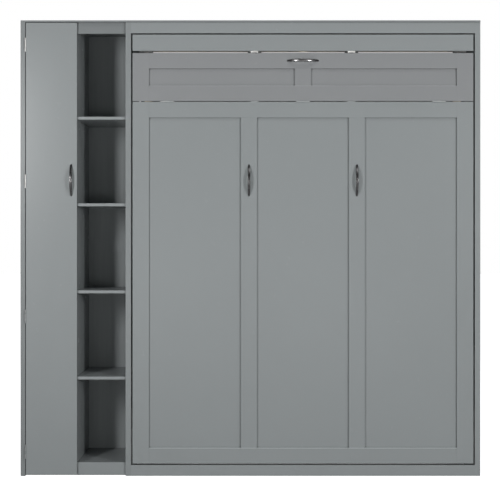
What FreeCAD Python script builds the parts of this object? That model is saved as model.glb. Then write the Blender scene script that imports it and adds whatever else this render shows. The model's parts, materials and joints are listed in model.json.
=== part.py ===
"""Vertical wall bed with a narrow closet and an open shelf column beside it.

Frame: +X to the right, +Y into the wall, +Z up. The origin is on the floor,
at the centre of the overall footprint, pull handles included. Millimetres.
Every body is drawn at rest: bed stowed, leg folded flat, closet door shut.
"""
import FreeCAD, Part
import math
import os

Vector = FreeCAD.Vector

# Overall size
WIDTH = 2211.0
HEIGHT = 2191.0
CABINET_DEPTH = 450.0
HANDLE_REACH = 30.0
TOP_THICKNESS = 9.0

# Board thicknesses
SIDE_THICKNESS = 26.0
CLOSET_SIDE_THICKNESS = 22.5
BOARD_THICKNESS = 18.0
SHELF_THICKNESS = 14.0
BACK_PANEL_THICKNESS = 6.0
BACK_PANEL_INSET = 6.0

# Bed cabinet
BED_CABINET_WIDTH = 1706.5
TOP_RAIL_HEIGHT = 52.5
BOTTOM_RAIL_HEIGHT = 53.5
FACE_SIDE_GAP = 7.5
FACE_END_GAP = 6.5

# Closet and open shelf column
DOOR_LEAD = 8.0
TOP_LEAD = 4.0
COLUMN_WIDTH = 234.0
DOOR_WIDTH = 245.0
DOOR_SIDE_GAP = 4.0
DOOR_BOTTOM = 6.0
DOOR_TOP_GAP = 3.5
DOOR_HINGE_LEVELS = (118.0, 767.0, 1417.0, 2073.0)
COLUMN_TOP_RAIL_BOTTOM = 2129.0
PLINTH_BOTTOM = 2.0
PLINTH_TOP = 64.0
CLOSET_FLOOR = 59.0
SHELF_LEVELS = (469.5, 885.0, 1304.5, 1722.0)
BATTEN_BOTTOM = 1073.0
BATTEN_HEIGHT = 58.0
BATTEN_THICKNESS = 10.0

# Bed face: a plywood sheet with a raised frame of stiles and rails
FACE_THICKNESS = 20.0
FRAME_THICKNESS = 10.5
LEG_THICKNESS = 19.5
OUTER_STILE = 79.5
INNER_STILE = 77.5
MAIN_TOP_RAIL = 76.0
MAIN_BOTTOM_RAIL = 74.5
FLAP_TOP_RAIL = 74.5
FLAP_BOTTOM_RAIL = 74.0
LEG_HINGE_Z = 1801.5
LEG_HINGE_GAP = 3.6
FOOT_HINGE_Z = 2039.5
FOOT_HINGE_GAP = 10.0
LEG_HINGE_SPREAD = 653.5
FOOT_HINGE_OUTER = 753.0
FOOT_HINGE_INNER = 233.0
CATCH_LENGTH = 38.0
CATCH_HEIGHT = 3.0

# Bed box
BOX_WIDTH = 1563.0
BED_RAIL_DEPTH = 150.0
HEAD_RAIL_THICKNESS = 18.0
FOOT_RAIL_THICKNESS = 12.0
BEAM_WIDTH = 40.0
BEAM_THICKNESS = 22.0
SLAT_WIDTH = 90.0
SLAT_THICKNESS = 18.0
SLAT_COUNT = 12
MATTRESS_WIDTH = 1524.0
MATTRESS_LENGTH = 2025.0
MATTRESS_THICKNESS = 200.0
STRAP_WIDTH = 50.0
STRAP_THICKNESS = 2.0
STRAP_SLACK = 6.0
STRAP_LEVELS = (760.0, 1480.0)

# Butt hinges
HINGE_LENGTH = 65.0
HINGE_AXIS_LEAD = 3.0
KNUCKLE_RADIUS = 3.2
LEAF_THICKNESS = 1.5
LEAF_REACH = 14.0
PIN_RADIUS = 1.5
RUNNING_CLEARANCE = 0.05
KNUCKLE_GAP = 0.4

# Pull handles
HANDLE_LENGTH = 153.0
HANDLE_THICKNESS = 6.0
HANDLE_FOOT = 10.0
HANDLE_END_WIDTH = 9.0
HANDLE_MID_WIDTH = 13.0
HANDLE_Z = 1422.0
DOOR_HANDLE_INSET = 27.0

# Lift mechanism
PIVOT_SETBACK = 85.0
PIVOT_RADIUS = 10.0
BOSS_RADIUS = 18.0
BOSS_LENGTH = 12.0
PLATE_THICKNESS = 4.0
PLATE_LOW_RADIUS = 40.0
PLATE_HIGH_RADIUS = 28.0
BRACKET_RADIUS = 36.0
BRACKET_ARM_RADIUS = 24.0
STRUT_STUD_RADIUS = 5.0
STRUT_EYE_RADIUS = 12.0
STRUT_EYE_THICKNESS = 12.0
STRUT_OFFSET = 18.0
STRUT_TUBE_RADIUS = 11.0
STRUT_TUBE_BORE = 9.0
STRUT_TUBE_LENGTH = 430.0
STRUT_ROD_RADIUS = 5.0
STRUT_GLAND = 8.0
STRUT_CAP = 10.0
STRUT_NECK_RADIUS = 6.0
STRUT_PISTON_LENGTH = 12.0
STRUT_PISTON_CLEARANCE = 0.5
STRUT_TOP = (120.0, 750.0)
STRUT_ARM = 140.0
STRUT_ARM_ANGLE = 18.75
OPEN_JOINT_GAP = 0.5

# Wall fixing
WALL_RAIL_HEIGHT = 120.0
HEADBOARD_BOTTOM = 570.0
HEADBOARD_HEIGHT = 440.0
WALL_BOLT_RADIUS = 4.0
WALL_BOLT_SPACING = 1219.2
WALL_BOLT_LOW_Z = 620.0
WALL_BOLT_HIGH_Z = 2120.0

# Derived planes
LEFT = -WIDTH / 2
RIGHT = WIDTH / 2
BACK = (CABINET_DEPTH + DOOR_LEAD + HANDLE_REACH) / 2
FRONT = BACK - CABINET_DEPTH
CEILING = HEIGHT - TOP_THICKNESS
SHARED_LEFT = RIGHT - BED_CABINET_WIDTH
BAY_LEFT = SHARED_LEFT + SIDE_THICKNESS
BAY_RIGHT = RIGHT - SIDE_THICKNESS
BED_X = (BAY_LEFT + BAY_RIGHT) / 2
TOP_FRONT = FRONT - TOP_LEAD
CLOSET_FRONT = FRONT - DOOR_LEAD
CARCASS_FRONT = CLOSET_FRONT + BOARD_THICKNESS + 1.0
CLOSET_LEFT = LEFT + CLOSET_SIDE_THICKNESS
DIVIDER_RIGHT = SHARED_LEFT - COLUMN_WIDTH
DIVIDER_LEFT = DIVIDER_RIGHT - BOARD_THICKNESS
BACK_PANEL_FRONT = BACK - BACK_PANEL_INSET - BACK_PANEL_THICKNESS
BACK_PANEL_BACK = BACK_PANEL_FRONT + BACK_PANEL_THICKNESS
RAIL_PLANE = CARCASS_FRONT + BOARD_THICKNESS
SEAM_Z = BATTEN_BOTTOM + BATTEN_HEIGHT / 2
DOOR_LEFT = CLOSET_LEFT + DOOR_SIDE_GAP
DOOR_RIGHT = DOOR_LEFT + DOOR_WIDTH

FACE_LEFT = BAY_LEFT + FACE_SIDE_GAP
FACE_RIGHT = BAY_RIGHT - FACE_SIDE_GAP
FACE_BOTTOM = BOTTOM_RAIL_HEIGHT + FACE_END_GAP
FACE_TOP = CEILING - TOP_RAIL_HEIGHT - FACE_END_GAP
FACE_BACK = FRONT + FACE_THICKNESS
MAIN_TOP = LEG_HINGE_Z - LEG_HINGE_GAP / 2
FLAP_BOTTOM = LEG_HINGE_Z + LEG_HINGE_GAP / 2
FLAP_TOP = FOOT_HINGE_Z - FOOT_HINGE_GAP / 2
STRIP_BOTTOM = FOOT_HINGE_Z + FOOT_HINGE_GAP / 2
FRAME_BACK = FRONT + FRAME_THICKNESS
MAIN_OPENING_BOTTOM = FACE_BOTTOM + MAIN_BOTTOM_RAIL
MAIN_OPENING_TOP = MAIN_TOP - MAIN_TOP_RAIL
OPENING_LEFT = FACE_LEFT + OUTER_STILE
OPENING_RIGHT = FACE_RIGHT - OUTER_STILE
MAIN_PANEL_WIDTH = (OPENING_RIGHT - OPENING_LEFT - 2 * INNER_STILE) / 3
INNER_LEFT_X = OPENING_LEFT + MAIN_PANEL_WIDTH
INNER_RIGHT_X = OPENING_RIGHT - MAIN_PANEL_WIDTH - INNER_STILE
FLAP_BACK = FRONT + LEG_THICKNESS
FLAP_OPENING_BOTTOM = FLAP_BOTTOM + FLAP_BOTTOM_RAIL
FLAP_OPENING_TOP = FLAP_TOP - FLAP_TOP_RAIL
HINGE_Y = FRONT - HINGE_AXIS_LEAD

BOX_LEFT = BED_X - BOX_WIDTH / 2
BOX_RIGHT = BED_X + BOX_WIDTH / 2
BOX_INNER_LEFT = BOX_LEFT + BOARD_THICKNESS
BOX_INNER_RIGHT = BOX_RIGHT - BOARD_THICKNESS
BOX_BOTTOM = FACE_BOTTOM + 0.5
MATTRESS_BOTTOM = BOX_BOTTOM + HEAD_RAIL_THICKNESS + 1.0
MATTRESS_TOP = MATTRESS_BOTTOM + MATTRESS_LENGTH
FOOT_RAIL_BOTTOM = MATTRESS_TOP + 1.0
BOX_TOP = FOOT_RAIL_BOTTOM + FOOT_RAIL_THICKNESS
RAIL_BACK = FACE_BACK + BED_RAIL_DEPTH
SLAT_FRONT = FACE_BACK + BEAM_THICKNESS
MATTRESS_FRONT = SLAT_FRONT + SLAT_THICKNESS + 0.5
MATTRESS_BACK = MATTRESS_FRONT + MATTRESS_THICKNESS

# With the bed down, the opened leg and its folded foot just reach the floor
LEG_DROP = FOOT_HINGE_Z - LEG_HINGE_Z + 2 * HINGE_AXIS_LEAD + LEG_THICKNESS
PIVOT_Y = FRONT + PIVOT_SETBACK
PIVOT_Z = LEG_DROP + PIVOT_SETBACK

NODES = {}


def box(x0, x1, y0, y1, z0, z1):
    """A board between two corners."""
    return Part.makeBox(x1 - x0, y1 - y0, z1 - z0, Vector(x0, y0, z0))


def cylinder_x(radius, x0, x1, y, z):
    """A round bar along X."""
    start = min(x0, x1)
    return Part.makeCylinder(radius, abs(x1 - x0), Vector(start, y, z), Vector(1, 0, 0))


def mirrored(shape):
    """The same piece on the other side of the bed."""
    return shape.mirror(Vector(BED_X, 0, 0), Vector(1, 0, 0))


def link_plate(x0, x1, first, first_radius, second, second_radius):
    """A flat link across X, with two round ends joined by their outer tangents."""
    dy = second[0] - first[0]
    dz = second[1] - first[1]
    length = math.hypot(dy, dz)
    heading = math.atan2(dz, dy)
    spread = math.acos((first_radius - second_radius) / length)
    corners = []
    for centre, radius, side in ((first, first_radius, 1), (second, second_radius, 1),
                                 (second, second_radius, -1), (first, first_radius, -1)):
        angle = heading + side * spread
        corners.append(Vector(x0, centre[0] + radius * math.cos(angle),
                              centre[1] + radius * math.sin(angle)))
    web = Part.Face(Part.makePolygon(corners + corners[:1])).extrude(Vector(x1 - x0, 0, 0))
    ends = [cylinder_x(first_radius, x0, x1, *first), cylinder_x(second_radius, x0, x1, *second)]
    return web.fuse(ends).removeSplitter()


def hinge_leaf(gap, side, with_pin):
    """One leaf of a butt hinge: length along X, pin axis at the origin, leaf running back
    along +Y on the side (+1 or -1) of the gap that it is let into.
    The leaf with the pin has the middle knuckle, the other has the two end knuckles."""
    half = HINGE_LENGTH / 2
    third = HINGE_LENGTH / 3
    if with_pin:
        spans = [(-third / 2, third / 2)]
    else:
        spans = [(-half, -third / 2 - KNUCKLE_GAP), (third / 2 + KNUCKLE_GAP, half)]
    z0 = min(side * gap / 2, side * (gap / 2 - LEAF_THICKNESS))
    z1 = z0 + LEAF_THICKNESS
    root_rise = side * min(gap / 2 - LEAF_THICKNESS, KNUCKLE_RADIUS - LEAF_THICKNESS / 2)
    root = KNUCKLE_RADIUS + KNUCKLE_GAP
    leaf = box(-half, half, root, HINGE_AXIS_LEAD + LEAF_REACH, z0, z1)
    for start, end in spans:
        leaf = leaf.fuse(box(start, end, 0, root, min(z0, root_rise), max(z1, root_rise)))
        leaf = leaf.fuse(cylinder_x(KNUCKLE_RADIUS, start, end, 0, 0))
    if with_pin:
        return leaf.fuse(cylinder_x(PIN_RADIUS, -half, half, 0, 0)).removeSplitter()
    bore = cylinder_x(PIN_RADIUS + RUNNING_CLEARANCE, -half, half, 0, 0)
    return leaf.cut(bore).removeSplitter()


def hinge_row(gap, side, with_pin, centres, z):
    """Leaves along a horizontal hinge line at height z."""
    leaves = []
    for x in centres:
        leaf = hinge_leaf(gap, side, with_pin)
        leaf.translate(Vector(x, HINGE_Y, z))
        leaves.append(leaf)
    return Part.makeCompound(leaves)


def door_hinge_row(side, with_pin, levels):
    """Leaves down the closet door's hinge edge. side is +1 for the closet side's leaf."""
    leaves = []
    for z in levels:
        leaf = hinge_leaf(DOOR_SIDE_GAP, side, with_pin)
        leaf.rotate(Vector(0, 0, 0), Vector(0, 1, 0), -90)
        leaf.translate(Vector(CLOSET_LEFT + DOOR_SIDE_GAP / 2, CLOSET_FRONT - HINGE_AXIS_LEAD, z))
        leaves.append(leaf)
    return Part.makeCompound(leaves)


def bow_handle():
    """An arched pull, length along X, feet on y = 0 and bowed towards -Y. It is widest in
    the middle and narrows to its feet."""
    half = HANDLE_LENGTH / 2
    inner = half - HANDLE_FOOT
    outer_arc = Part.Arc(Vector(-half, 0, 0), Vector(0, -HANDLE_REACH, 0), Vector(half, 0, 0))
    inner_arc = Part.Arc(Vector(inner, 0, 0), Vector(0, HANDLE_THICKNESS - HANDLE_REACH, 0),
                         Vector(-inner, 0, 0))
    profile = Part.Wire([
        outer_arc.toShape(),
        Part.makeLine(Vector(half, 0, 0), Vector(inner, 0, 0)),
        inner_arc.toShape(),
        Part.makeLine(Vector(-inner, 0, 0), Vector(-half, 0, 0)),
    ])
    bow = Part.Face(profile).extrude(Vector(0, 0, HANDLE_MID_WIDTH))
    bow.translate(Vector(0, 0, -HANDLE_MID_WIDTH / 2))

    end = HANDLE_END_WIDTH / 2
    mid = HANDLE_MID_WIDTH / 2
    outline = Part.Wire([
        Part.Arc(Vector(-half, 0, end), Vector(0, 0, mid), Vector(half, 0, end)).toShape(),
        Part.makeLine(Vector(half, 0, end), Vector(half, 0, -end)),
        Part.Arc(Vector(half, 0, -end), Vector(0, 0, -mid), Vector(-half, 0, -end)).toShape(),
        Part.makeLine(Vector(-half, 0, -end), Vector(-half, 0, end)),
    ])
    width = Part.Face(outline).extrude(Vector(0, -HANDLE_REACH - 1, 0))
    return bow.common(width)


def place_handle(x, y, z, upright):
    """A pull handle with its feet on the plane y, centred on x and z."""
    handle = bow_handle()
    if upright:
        handle.rotate(Vector(0, 0, 0), Vector(0, 1, 0), 90)
    handle.translate(Vector(x, y, z))
    return handle


# Cabinet sides, top and bottom
NODES["closet_side"] = box(LEFT, CLOSET_LEFT, TOP_FRONT, BACK, 0, CEILING)
NODES["closet_divider"] = box(DIVIDER_LEFT, DIVIDER_RIGHT, CARCASS_FRONT, BACK,
                              CLOSET_FLOOR, CEILING)
NODES["shared_side"] = box(SHARED_LEFT, BAY_LEFT, FRONT, BACK, 0, CEILING)
NODES["bed_cabinet_side"] = box(BAY_RIGHT, RIGHT, FRONT, BACK, 0, CEILING)
NODES["top_board"] = box(LEFT, RIGHT, TOP_FRONT, BACK, CEILING, HEIGHT)
NODES["closet_bottom"] = box(CLOSET_LEFT, SHARED_LEFT, RAIL_PLANE, BACK,
                             CLOSET_FLOOR - BOARD_THICKNESS, CLOSET_FLOOR)
NODES["bed_top_rail"] = box(BAY_LEFT, BAY_RIGHT, FRONT, FRONT + BOARD_THICKNESS,
                            CEILING - TOP_RAIL_HEIGHT, CEILING)
NODES["bed_bottom_rail"] = box(BAY_LEFT, BAY_RIGHT, FRONT, FRONT + BOARD_THICKNESS,
                               0, BOTTOM_RAIL_HEIGHT)

# Open shelf column
NODES["column_top_rail"] = box(DIVIDER_RIGHT, SHARED_LEFT, CARCASS_FRONT, RAIL_PLANE,
                               COLUMN_TOP_RAIL_BOTTOM, CEILING)
NODES["column_plinth"] = box(DIVIDER_RIGHT, SHARED_LEFT, CARCASS_FRONT, RAIL_PLANE,
                             PLINTH_BOTTOM, PLINTH_TOP)
for number, level in enumerate(SHELF_LEVELS, 1):
    NODES["column_shelf_%d" % number] = box(
        DIVIDER_RIGHT, SHARED_LEFT, CARCASS_FRONT, BACK_PANEL_FRONT,
        level - SHELF_THICKNESS / 2, level + SHELF_THICKNESS / 2)

NODES["column_back_lower"] = box(DIVIDER_RIGHT, SHARED_LEFT, BACK_PANEL_FRONT, BACK_PANEL_BACK,
                                 CLOSET_FLOOR, SEAM_Z)
NODES["column_back_upper"] = box(DIVIDER_RIGHT, SHARED_LEFT, BACK_PANEL_FRONT, BACK_PANEL_BACK,
                                 SEAM_Z, CEILING)
NODES["column_back_batten"] = box(DIVIDER_RIGHT, SHARED_LEFT,
                                  BACK_PANEL_FRONT - BATTEN_THICKNESS, BACK_PANEL_FRONT,
                                  BATTEN_BOTTOM, BATTEN_BOTTOM + BATTEN_HEIGHT)

# Closet
NODES["closet_back"] = box(CLOSET_LEFT, DIVIDER_LEFT, BACK_PANEL_FRONT, BACK_PANEL_BACK,
                           CLOSET_FLOOR, CEILING)
NODES["closet_shelf"] = box(CLOSET_LEFT, DIVIDER_LEFT, CARCASS_FRONT + 2, BACK_PANEL_FRONT,
                            SHELF_LEVELS[2] - SHELF_THICKNESS / 2,
                            SHELF_LEVELS[2] + SHELF_THICKNESS / 2)
NODES["closet_door"] = box(DOOR_LEFT, DOOR_RIGHT, CLOSET_FRONT, CLOSET_FRONT + BOARD_THICKNESS,
                           DOOR_BOTTOM, CEILING - DOOR_TOP_GAP)
NODES["closet_handle"] = place_handle(DOOR_RIGHT - DOOR_HANDLE_INSET, CLOSET_FRONT, HANDLE_Z,
                                      upright=True)
NODES["door_hinge_fixed_leaves"] = door_hinge_row(1, False, DOOR_HINGE_LEVELS)
NODES["door_hinge_door_leaves"] = door_hinge_row(-1, True, DOOR_HINGE_LEVELS)

# Wall fixing
wall_rail = box(BAY_LEFT, BAY_RIGHT, BACK - BOARD_THICKNESS, BACK,
                CEILING - WALL_RAIL_HEIGHT, CEILING)
headboard = box(BAY_LEFT, BAY_RIGHT, BACK - BOARD_THICKNESS, BACK,
                HEADBOARD_BOTTOM, HEADBOARD_BOTTOM + HEADBOARD_HEIGHT)
for side in (-1, 1):
    bolt_x = BED_X + side * WALL_BOLT_SPACING / 2
    for z in (WALL_BOLT_LOW_Z, WALL_BOLT_HIGH_Z):
        hole = Part.makeCylinder(WALL_BOLT_RADIUS, BOARD_THICKNESS + 2,
                                 Vector(bolt_x, BACK - BOARD_THICKNESS - 1, z), Vector(0, 1, 0))
        wall_rail = wall_rail.cut(hole)
        headboard = headboard.cut(hole)
NODES["wall_rail"] = wall_rail
NODES["headboard_panel"] = headboard

# Bed face, main part
NODES["main_sheet"] = box(FACE_LEFT, FACE_RIGHT, FRAME_BACK, FACE_BACK, FACE_BOTTOM, MAIN_TOP)
NODES["main_stile_left"] = box(FACE_LEFT, OPENING_LEFT, FRONT, FRAME_BACK, FACE_BOTTOM, MAIN_TOP)
NODES["main_stile_right"] = box(OPENING_RIGHT, FACE_RIGHT, FRONT, FRAME_BACK,
                                FACE_BOTTOM, MAIN_TOP)
NODES["main_stile_inner_left"] = box(INNER_LEFT_X, INNER_LEFT_X + INNER_STILE, FRONT, FRAME_BACK,
                                     MAIN_OPENING_BOTTOM, MAIN_OPENING_TOP)
NODES["main_stile_inner_right"] = box(INNER_RIGHT_X, INNER_RIGHT_X + INNER_STILE, FRONT,
                                      FRAME_BACK, MAIN_OPENING_BOTTOM, MAIN_OPENING_TOP)
NODES["main_rail_top"] = box(OPENING_LEFT, OPENING_RIGHT, FRONT, FRAME_BACK,
                             MAIN_OPENING_TOP, MAIN_TOP)
NODES["main_rail_bottom"] = box(OPENING_LEFT, OPENING_RIGHT, FRONT, FRAME_BACK,
                                FACE_BOTTOM, MAIN_OPENING_BOTTOM)
NODES["bed_handle_left"] = place_handle(INNER_LEFT_X + INNER_STILE / 2, FRONT, HANDLE_Z,
                                        upright=True)
NODES["bed_handle_right"] = place_handle(INNER_RIGHT_X + INNER_STILE / 2, FRONT, HANDLE_Z,
                                         upright=True)

# Bed face, leg flap
NODES["flap_sheet"] = box(FACE_LEFT, FACE_RIGHT, FRAME_BACK, FLAP_BACK, FLAP_BOTTOM, FLAP_TOP)
NODES["flap_stile_left"] = box(FACE_LEFT, OPENING_LEFT, FRONT, FRAME_BACK, FLAP_BOTTOM, FLAP_TOP)
NODES["flap_stile_right"] = box(OPENING_RIGHT, FACE_RIGHT, FRONT, FRAME_BACK,
                                FLAP_BOTTOM, FLAP_TOP)
NODES["flap_stile_centre"] = box(BED_X - INNER_STILE / 2, BED_X + INNER_STILE / 2, FRONT,
                                 FRAME_BACK, FLAP_OPENING_BOTTOM, FLAP_OPENING_TOP)
NODES["flap_rail_top"] = box(OPENING_LEFT, OPENING_RIGHT, FRONT, FRAME_BACK,
                             FLAP_OPENING_TOP, FLAP_TOP)
NODES["flap_rail_bottom"] = box(OPENING_LEFT, OPENING_RIGHT, FRONT, FRAME_BACK,
                                FLAP_BOTTOM, FLAP_OPENING_BOTTOM)
NODES["flap_handle"] = place_handle(BED_X, FRONT, FLAP_TOP - FLAP_TOP_RAIL / 2, upright=False)

# Bed face, foot strip
NODES["foot_strip"] = box(FACE_LEFT, FACE_RIGHT, FRONT, FLAP_BACK, STRIP_BOTTOM, FACE_TOP)

# Leg and foot hinges, and the two catch plates that hold the leg shut
leg_hinges = [BED_X - LEG_HINGE_SPREAD, BED_X, BED_X + LEG_HINGE_SPREAD]
foot_hinges = [BED_X - FOOT_HINGE_OUTER, BED_X - FOOT_HINGE_INNER,
               BED_X + FOOT_HINGE_INNER, BED_X + FOOT_HINGE_OUTER]
NODES["leg_hinge_bed_leaves"] = hinge_row(LEG_HINGE_GAP, -1, False, leg_hinges, LEG_HINGE_Z)
NODES["foot_hinge_strip_leaves"] = hinge_row(FOOT_HINGE_GAP, 1, True, foot_hinges, FOOT_HINGE_Z)
NODES["flap_hinge_leaves"] = Part.makeCompound(
    hinge_row(LEG_HINGE_GAP, 1, True, leg_hinges, LEG_HINGE_Z).Solids
    + hinge_row(FOOT_HINGE_GAP, -1, False, foot_hinges, FOOT_HINGE_Z).Solids)
catches = []
for side in (-1, 1):
    catch_x = BED_X + side * FOOT_HINGE_INNER
    catches.append(box(catch_x - CATCH_LENGTH / 2, catch_x + CATCH_LENGTH / 2,
                       FRONT + 1, FACE_BACK - 2, MAIN_TOP, MAIN_TOP + CATCH_HEIGHT))
NODES["leg_catch_plates"] = Part.makeCompound(catches)

# Bed box
NODES["bed_side_rail_left"] = box(BOX_LEFT, BOX_INNER_LEFT, FACE_BACK, RAIL_BACK,
                                  BOX_BOTTOM, BOX_TOP)
NODES["bed_side_rail_right"] = mirrored(NODES["bed_side_rail_left"])
NODES["bed_head_rail"] = box(BOX_INNER_LEFT, BOX_INNER_RIGHT, FACE_BACK, RAIL_BACK,
                             BOX_BOTTOM, BOX_BOTTOM + HEAD_RAIL_THICKNESS)
NODES["bed_foot_rail"] = box(BOX_INNER_LEFT, BOX_INNER_RIGHT, FACE_BACK, RAIL_BACK,
                             FOOT_RAIL_BOTTOM, BOX_TOP)
beams = []
for x in (BOX_INNER_LEFT, BED_X - BEAM_WIDTH / 2, BOX_INNER_RIGHT - BEAM_WIDTH):
    beams.append(box(x, x + BEAM_WIDTH, FACE_BACK, SLAT_FRONT,
                     BOX_BOTTOM + HEAD_RAIL_THICKNESS, FOOT_RAIL_BOTTOM))
NODES["deck_beams"] = Part.makeCompound(beams)
slats = []
slat_pitch = (FOOT_RAIL_BOTTOM - MATTRESS_BOTTOM - SLAT_WIDTH) / (SLAT_COUNT - 1)
for number in range(SLAT_COUNT):
    z = MATTRESS_BOTTOM + number * slat_pitch
    slats.append(box(BOX_INNER_LEFT, BOX_INNER_RIGHT, SLAT_FRONT, SLAT_FRONT + SLAT_THICKNESS,
                     z, z + SLAT_WIDTH))
NODES["deck_slats"] = Part.makeCompound(slats)
NODES["mattress"] = box(BED_X - MATTRESS_WIDTH / 2, BED_X + MATTRESS_WIDTH / 2,
                        MATTRESS_FRONT, MATTRESS_BACK, MATTRESS_BOTTOM, MATTRESS_TOP)

# Two straps over the mattress, each ending on the edges of the side rails
strap_back = MATTRESS_BACK + STRAP_SLACK
straps = []
for level in STRAP_LEVELS:
    z0 = level - STRAP_WIDTH / 2
    z1 = level + STRAP_WIDTH / 2
    outer = box(BOX_INNER_LEFT - STRAP_THICKNESS, BOX_INNER_RIGHT + STRAP_THICKNESS,
                RAIL_BACK, strap_back + STRAP_THICKNESS, z0, z1)
    hollow = box(BOX_INNER_LEFT, BOX_INNER_RIGHT, RAIL_BACK - 1, strap_back, z0 - 1, z1 + 1)
    tab_left = box(BOX_LEFT + 1, BOX_INNER_LEFT, RAIL_BACK, RAIL_BACK + STRAP_THICKNESS, z0, z1)
    straps.append(outer.cut(hollow).fuse([tab_left, mirrored(tab_left)]).removeSplitter())
NODES["mattress_straps"] = Part.makeCompound(straps)

# Lift mechanism: plates on the cabinet sides carry the bed on stub shafts, brackets on
# the bed's side rails turn on them, and a gas strut each side carries the bed's weight
STRUT_TOP_Y = PIVOT_Y + STRUT_TOP[0]
STRUT_TOP_Z = PIVOT_Z + STRUT_TOP[1]
arm_angle = math.radians(STRUT_ARM_ANGLE)
ARM_Y = PIVOT_Y + STRUT_ARM * math.sin(arm_angle)
ARM_Z = PIVOT_Z - STRUT_ARM * math.cos(arm_angle)
STRUT_X = BAY_LEFT + STRUT_OFFSET
STRUT_LENGTH = math.hypot(STRUT_TOP_Y - ARM_Y, STRUT_TOP_Z - ARM_Z)
bracket_face = BOX_LEFT - PLATE_THICKNESS
plate_face = BAY_LEFT + PLATE_THICKNESS

cabinet_plate = link_plate(BAY_LEFT, plate_face, (PIVOT_Y, PIVOT_Z), PLATE_LOW_RADIUS,
                           (STRUT_TOP_Y, STRUT_TOP_Z), PLATE_HIGH_RADIUS)
shaft = cylinder_x(PIVOT_RADIUS, plate_face, BOX_LEFT - 1, PIVOT_Y, PIVOT_Z)
shoulder = cylinder_x(BOSS_RADIUS, plate_face, bracket_face - BOSS_LENGTH - 1, PIVOT_Y, PIVOT_Z)
top_stud = cylinder_x(STRUT_STUD_RADIUS, plate_face, STRUT_X + STRUT_EYE_THICKNESS / 2 + 2,
                      STRUT_TOP_Y, STRUT_TOP_Z)
cabinet_plate = cabinet_plate.fuse([shaft, shoulder, top_stud])
NODES["cabinet_pivot_plates"] = Part.makeCompound([cabinet_plate, mirrored(cabinet_plate)])

bracket = link_plate(bracket_face, BOX_LEFT, (PIVOT_Y, PIVOT_Z), BRACKET_RADIUS,
                     (ARM_Y, ARM_Z), BRACKET_ARM_RADIUS)
boss = cylinder_x(BOSS_RADIUS, bracket_face - BOSS_LENGTH, bracket_face, PIVOT_Y, PIVOT_Z)
arm_stud = cylinder_x(STRUT_STUD_RADIUS + 3, bracket_face,
                      STRUT_X + STRUT_EYE_THICKNESS / 2 + OPEN_JOINT_GAP, ARM_Y, ARM_Z)
bore = cylinder_x(PIVOT_RADIUS + RUNNING_CLEARANCE, bracket_face - BOSS_LENGTH - 1, BOX_LEFT,
                  PIVOT_Y, PIVOT_Z)
bracket = bracket.fuse([boss, arm_stud]).cut(bore)
NODES["bed_pivot_brackets"] = Part.makeCompound([bracket, mirrored(bracket)])


def strut_parts():
    """The tube and the rod of one gas strut, hanging down from the tube's eye at the origin,
    extended to STRUT_LENGTH between its two eyes."""
    down = Vector(0, 0, -1)
    half_eye = STRUT_EYE_THICKNESS / 2
    tube_start = STRUT_EYE_RADIUS + 8
    tube_end = tube_start + STRUT_TUBE_LENGTH

    top_eye = cylinder_x(STRUT_EYE_RADIUS, -half_eye, half_eye, 0, 0)
    neck = Part.makeCylinder(STRUT_NECK_RADIUS, tube_start, Vector(0, 0, 0), down)
    body = Part.makeCylinder(STRUT_TUBE_RADIUS, STRUT_TUBE_LENGTH, Vector(0, 0, -tube_start), down)
    hollow = Part.makeCylinder(STRUT_TUBE_BORE, STRUT_TUBE_LENGTH - STRUT_GLAND - STRUT_CAP,
                               Vector(0, 0, -tube_start - STRUT_CAP), down)
    gland_bore = Part.makeCylinder(STRUT_ROD_RADIUS + RUNNING_CLEARANCE, STRUT_GLAND + 2,
                                   Vector(0, 0, -tube_end + STRUT_GLAND + 1), down)
    eye_bore = cylinder_x(STRUT_STUD_RADIUS + RUNNING_CLEARANCE, -half_eye - 1, half_eye + 1, 0, 0)
    tube = top_eye.fuse([neck, body]).cut(hollow).cut(gland_bore).cut(eye_bore)

    piston_start = tube_end - STRUT_GLAND - 1.5 * STRUT_PISTON_LENGTH
    piston = Part.makeCylinder(STRUT_TUBE_BORE - STRUT_PISTON_CLEARANCE, STRUT_PISTON_LENGTH,
                               Vector(0, 0, -piston_start), down)
    shank = Part.makeCylinder(STRUT_ROD_RADIUS, STRUT_LENGTH - piston_start,
                              Vector(0, 0, -piston_start), down)
    low_eye = cylinder_x(STRUT_EYE_RADIUS, -half_eye, half_eye, 0, -STRUT_LENGTH)
    rod = shank.fuse([piston, low_eye]).removeSplitter()
    return tube, rod


strut_lean = math.degrees(math.atan2(STRUT_TOP_Y - ARM_Y, STRUT_TOP_Z - ARM_Z))
for name, shape in zip(("tube", "rod"), strut_parts()):
    shape.rotate(Vector(0, 0, 0), Vector(1, 0, 0), -strut_lean)
    shape.translate(Vector(STRUT_X, STRUT_TOP_Y, STRUT_TOP_Z))
    NODES["strut_left_%s" % name] = shape
    NODES["strut_right_%s" % name] = mirrored(shape)

os.makedirs("parts", exist_ok=True)
for name, shape in NODES.items():
    shape.exportStep("parts/%s.step" % name)
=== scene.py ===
"""Looks of the wall bed: materials, rounded edges, handles, mattress and straps, built round
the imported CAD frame. Metres, +X right, +Y into the wall, +Z up, bed stowed."""
import json
import math

import bmesh
import bpy
import numpy as np
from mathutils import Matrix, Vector
from mathutils.bvhtree import BVHTree


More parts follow.
